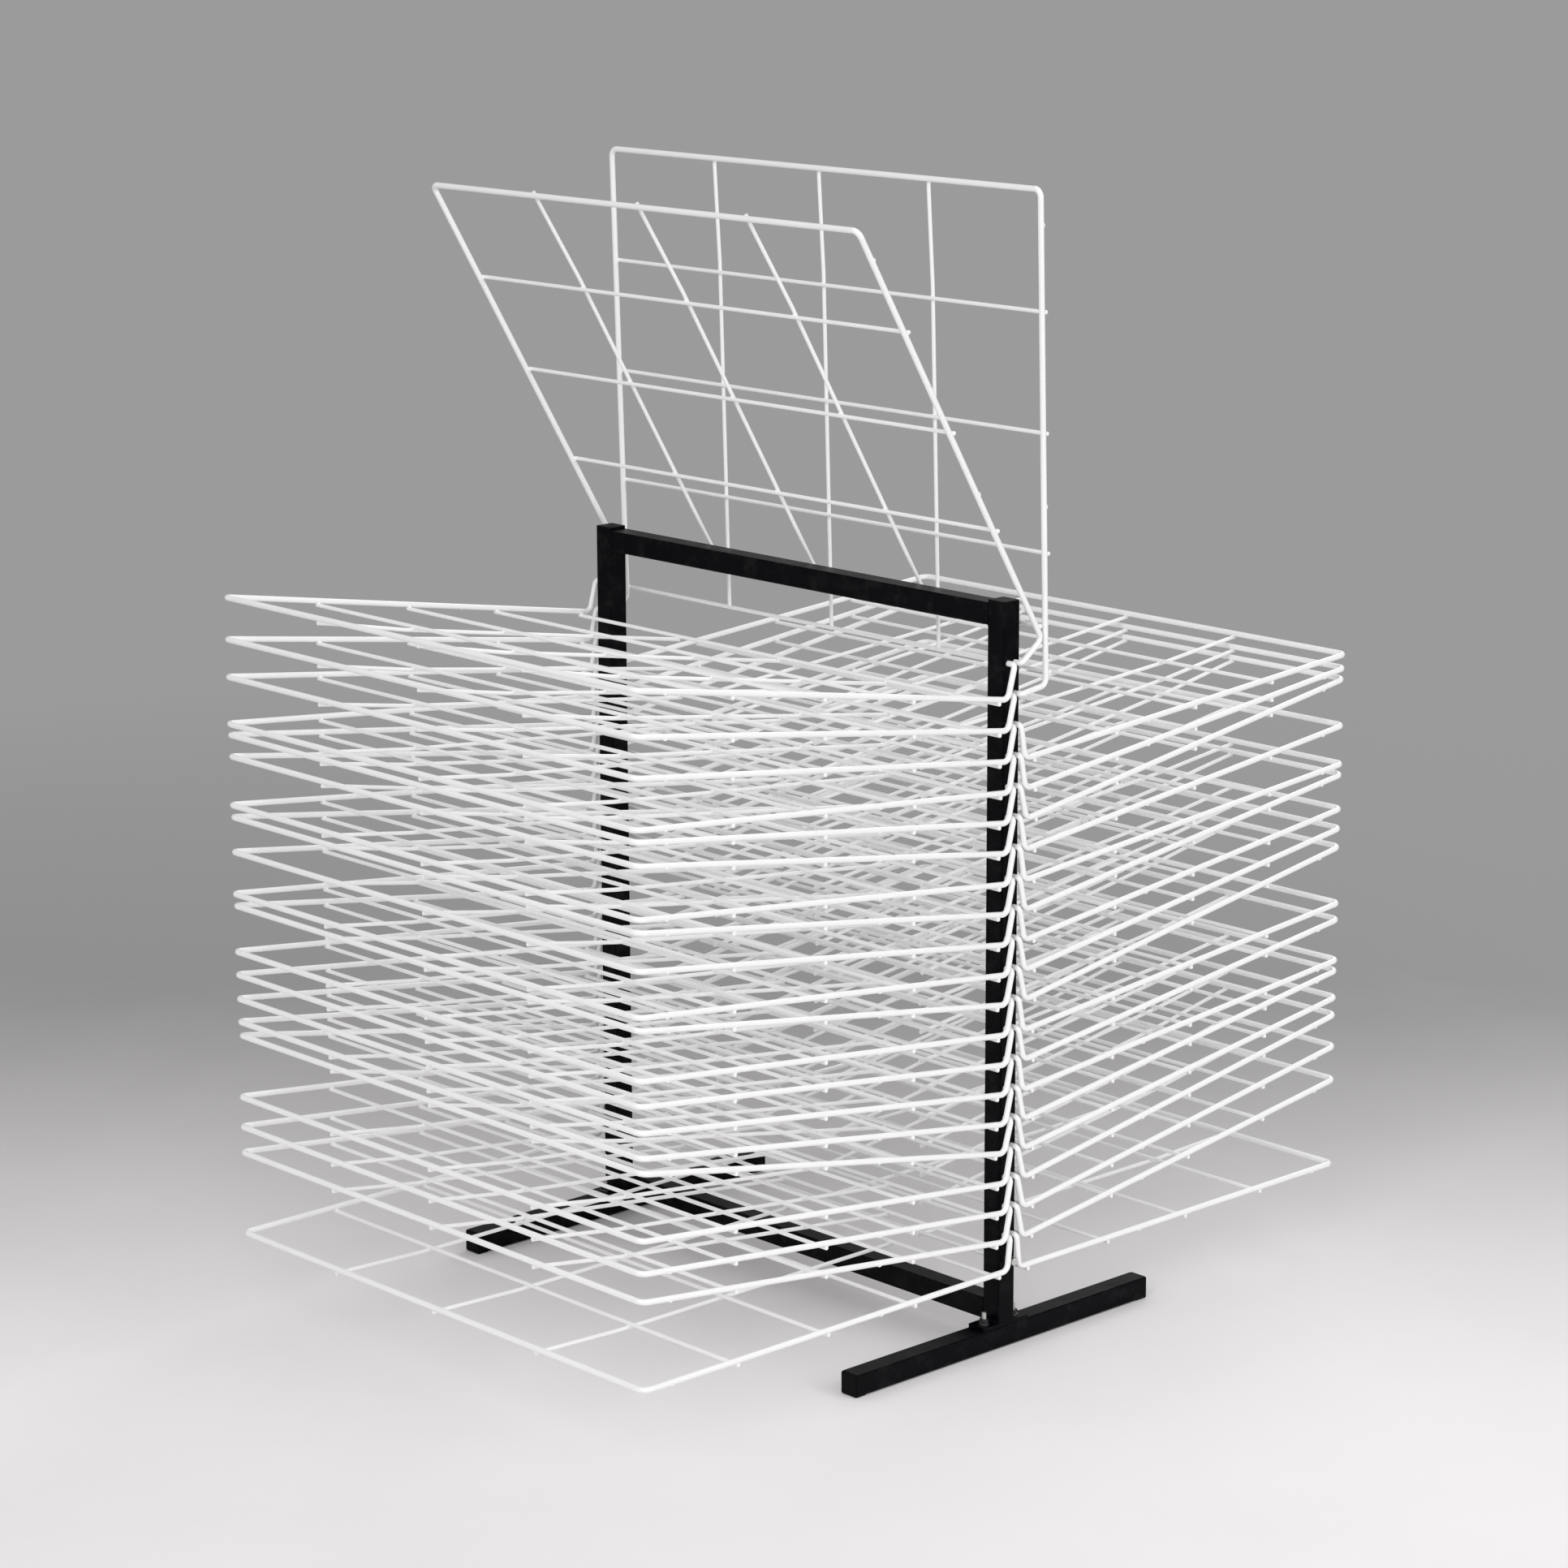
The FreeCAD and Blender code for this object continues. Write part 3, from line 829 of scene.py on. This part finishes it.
# %% The two kinds of bead
post_low, post_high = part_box("right_post")
plate_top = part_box("right_foot_plate")[1].z
tube_side = post_high.y - post_low.y
post_middle = (post_low.x + post_high.x) / 2
blob_length = 0.006
blob_width = 0.0052
blob_proud = 0.0011
corner_run = tube_side * 0.84
corner_leg = 0.0025
corner_chord = corner_leg / math.sqrt(2)
corner_proud = 0.0006
root_sink = 0.0003

blob = weld_bead("weld_blob", blob_length, blob_width, blob_proud, root_sink)
corner_bead = weld_bead(
    "weld_corner", corner_run, 2 * corner_chord, corner_proud, corner_chord - root_sink)
print("blob has", len(blob.polygons), "faces and the corner bead", len(corner_bead.polygons))

# %% Lay the beads
blob_shares = (0.26, 0.79)


def lay_bead(name, mesh, middle, run, rise, length):
    """A bead with its middle at a point, running one way and rising another."""
    run, rise = Vector(run).normalized(), Vector(rise).normalized()
    turn = Matrix((run, rise.cross(run), rise)).transposed().to_4x4()
    made = link(name, mesh)
    made.matrix_world = Matrix.Translation(Vector(middle) - run * length / 2) @ turn
    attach(made, "frame")
    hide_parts("frame_welds")


def corner_middle(corner, rise):
    """The middle of the line between a corner bead's two edges."""
    return Vector(corner) + Vector(rise).normalized() * corner_chord


for side_word, side in (("left", -1), ("right", 1)):
    for bar, upward in (("top_bar", -1), ("bottom_bar", 1)):
        bar_low, bar_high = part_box(bar)
        for face_word, face in (("front", -1), ("back", 1)):
            for number, share in enumerate(blob_shares, start=1):
                height = bar_low.z + share * tube_side
                lay_bead("weld_%s_%s_%s_%d" % (bar, side_word, face_word, number), blob,
                         (side * post_low.x, face * tube_side / 2, height),
                         (0, 0, 1), (0, face, 0), blob_length)
        rise = (-side, 0, upward)
        corner = (side * post_low.x, 0, bar_high.z if upward > 0 else bar_low.z)
        lay_bead("weld_%s_%s" % (bar, side_word), corner_bead, corner_middle(corner, rise),
                 (0, 1, 0), rise, corner_run)
    for face_word, face in (("front", -1), ("back", 1)):
        rise = (0, face, 1)
        corner = (side * post_middle, face * tube_side / 2, plate_top)
        lay_bead("weld_foot_plate_%s_%s" % (side_word, face_word), corner_bead,
                 corner_middle(corner, rise), (1, 0, 0), rise, corner_run)

# %% [markdown]
# ## Floor, backdrop and light
# The rack stands on a pale floor whose colour is painted grey behind it: painted shade,
# as on a paper sweep where it leaves the light. A real backdrop would hide the rack from the
# other side, so the floor stays flat and runs far out instead. The painted shade is a slope of
# colour along the floor, and far from the rack the floor turns into the very grey of the
# background, so no horizon shows. Only the camera and mirrors see that grey: the light on the
# rack comes from three large soft lamps and an even sky.

# %% The floor
floor_reach = 60.0
backdrop_grey = (0.33, 0.328, 0.33, 1)
floor_pale = (0.91, 0.895, 0.9, 1)
# The grey that the floor's colour turns to behind the rack is painted shade.
floor_painted_shade = (0.325, 0.32, 0.322, 1)
shade_heading = Vector((-1, 1, 0)).normalized()
shade_start = -0.55
shade_end = 1.5
mottle_most = 0.05
fade_start = 1.3
fade_end = 3.6


def make_floor_material():
    material, tree, shader = new_material("pale_floor")
    place = object_place(tree)
    along = add_node(tree, "ShaderNodeVectorMath", {0: place, 1: shade_heading},
                     operation="DOT_PRODUCT")
    # Painted shade: the floor's colour darkens towards grey along this heading.
    shade_slope = add_node(tree, "ShaderNodeMapRange", {
        "Value": along.outputs["Value"], "From Min": shade_start, "From Max": shade_end},
        interpolation_type="SMOOTHSTEP")
    mottle = spread(tree, noise(tree, place, scale=3.0, detail=5.0), 0.0, mottle_most)
    amount = math_node(tree, "ADD", shade_slope.outputs["Result"], mottle, clamp=True)
    feed(tree, shader, {
        "Base Color": blend_colours(tree, amount, floor_pale, floor_painted_shade), "Roughness": 0.8})
    distance = add_node(tree, "ShaderNodeVectorMath", {0: place}, operation="LENGTH").outputs["Value"]
    far = remap(tree, distance, fade_start, fade_end)
    grey = add_node(tree, "ShaderNodeEmission", {"Color": backdrop_grey})
    mix = add_node(tree, "ShaderNodeMixShader", {0: far, 1: shader.outputs[0], 2: grey.outputs[0]})
    feed(tree, tree.nodes["Material Output"], {"Surface": mix.outputs[0]})
    return material


floor_mesh = bpy.data.meshes.new("floor")
floor_corners = [(x * floor_reach, y * floor_reach, 0) for x, y in ((-1, -1), (1, -1), (1, 1), (-1, 1))]
floor_mesh.from_pydata(floor_corners, [], [(0, 1, 2, 3)])
floor_mesh.materials.append(make_floor_material())
floor = link("floor", floor_mesh)
print("floor is", 2 * floor_reach, "m wide")

# %% The sky
sky_light = (1.0, 0.985, 0.985, 1)
sky_strength = 0.5

world = bpy.data.worlds.new("studio")
bpy.context.scene.world = world
world.use_nodes = True
sky = world.node_tree
even = sky.nodes["Background"]
feed(sky, even, {"Color": sky_light, "Strength": sky_strength})
seen = add_node(sky, "ShaderNodeBackground", {"Color": backdrop_grey, "Strength": 1.0})
path = sky.nodes.new("ShaderNodeLightPath")
mirrors = math_node(sky, "MAXIMUM", path.outputs["Is Camera Ray"], path.outputs["Is Glossy Ray"])
sky_mix = add_node(sky, "ShaderNodeMixShader", {0: mirrors, 1: even.outputs[0], 2: seen.outputs[0]})
feed(sky, sky.nodes["World Output"], {"Surface": sky_mix.outputs[0]})
print("sky strength", sky_strength)

# %% The lamps
rack_middle = Vector((0, 0, 0.6))


def soft_lamp(name, place, size, power):
    """A square area lamp that faces the rack."""
    data = bpy.data.lights.new(name, "AREA")
    data.size = size
    data.energy = power
    lamp = link(name, data)
    lamp.location = place
    lamp.rotation_euler = (rack_middle - Vector(place)).to_track_quat("-Z", "Y").to_euler()
    return lamp


lamps = [
    soft_lamp("key", place=(2.4, -3.6, 3.3), size=2.8, power=105),
    soft_lamp("fill", place=(4.2, 1.0, 2.8), size=2.6, power=62),
    soft_lamp("back", place=(-1.8, 3.8, 3.2), size=2.0, power=50),
]
print("lamps:", [lamp.name for lamp in lamps])

# %% [markdown]
# ## Light and colour settings
# Standard keeps a colour as it was written. The other settings stay as they are.

# %% View settings
bpy.context.scene.view_settings.view_transform = "Standard"
print("view transform:", bpy.context.scene.view_settings.view_transform)
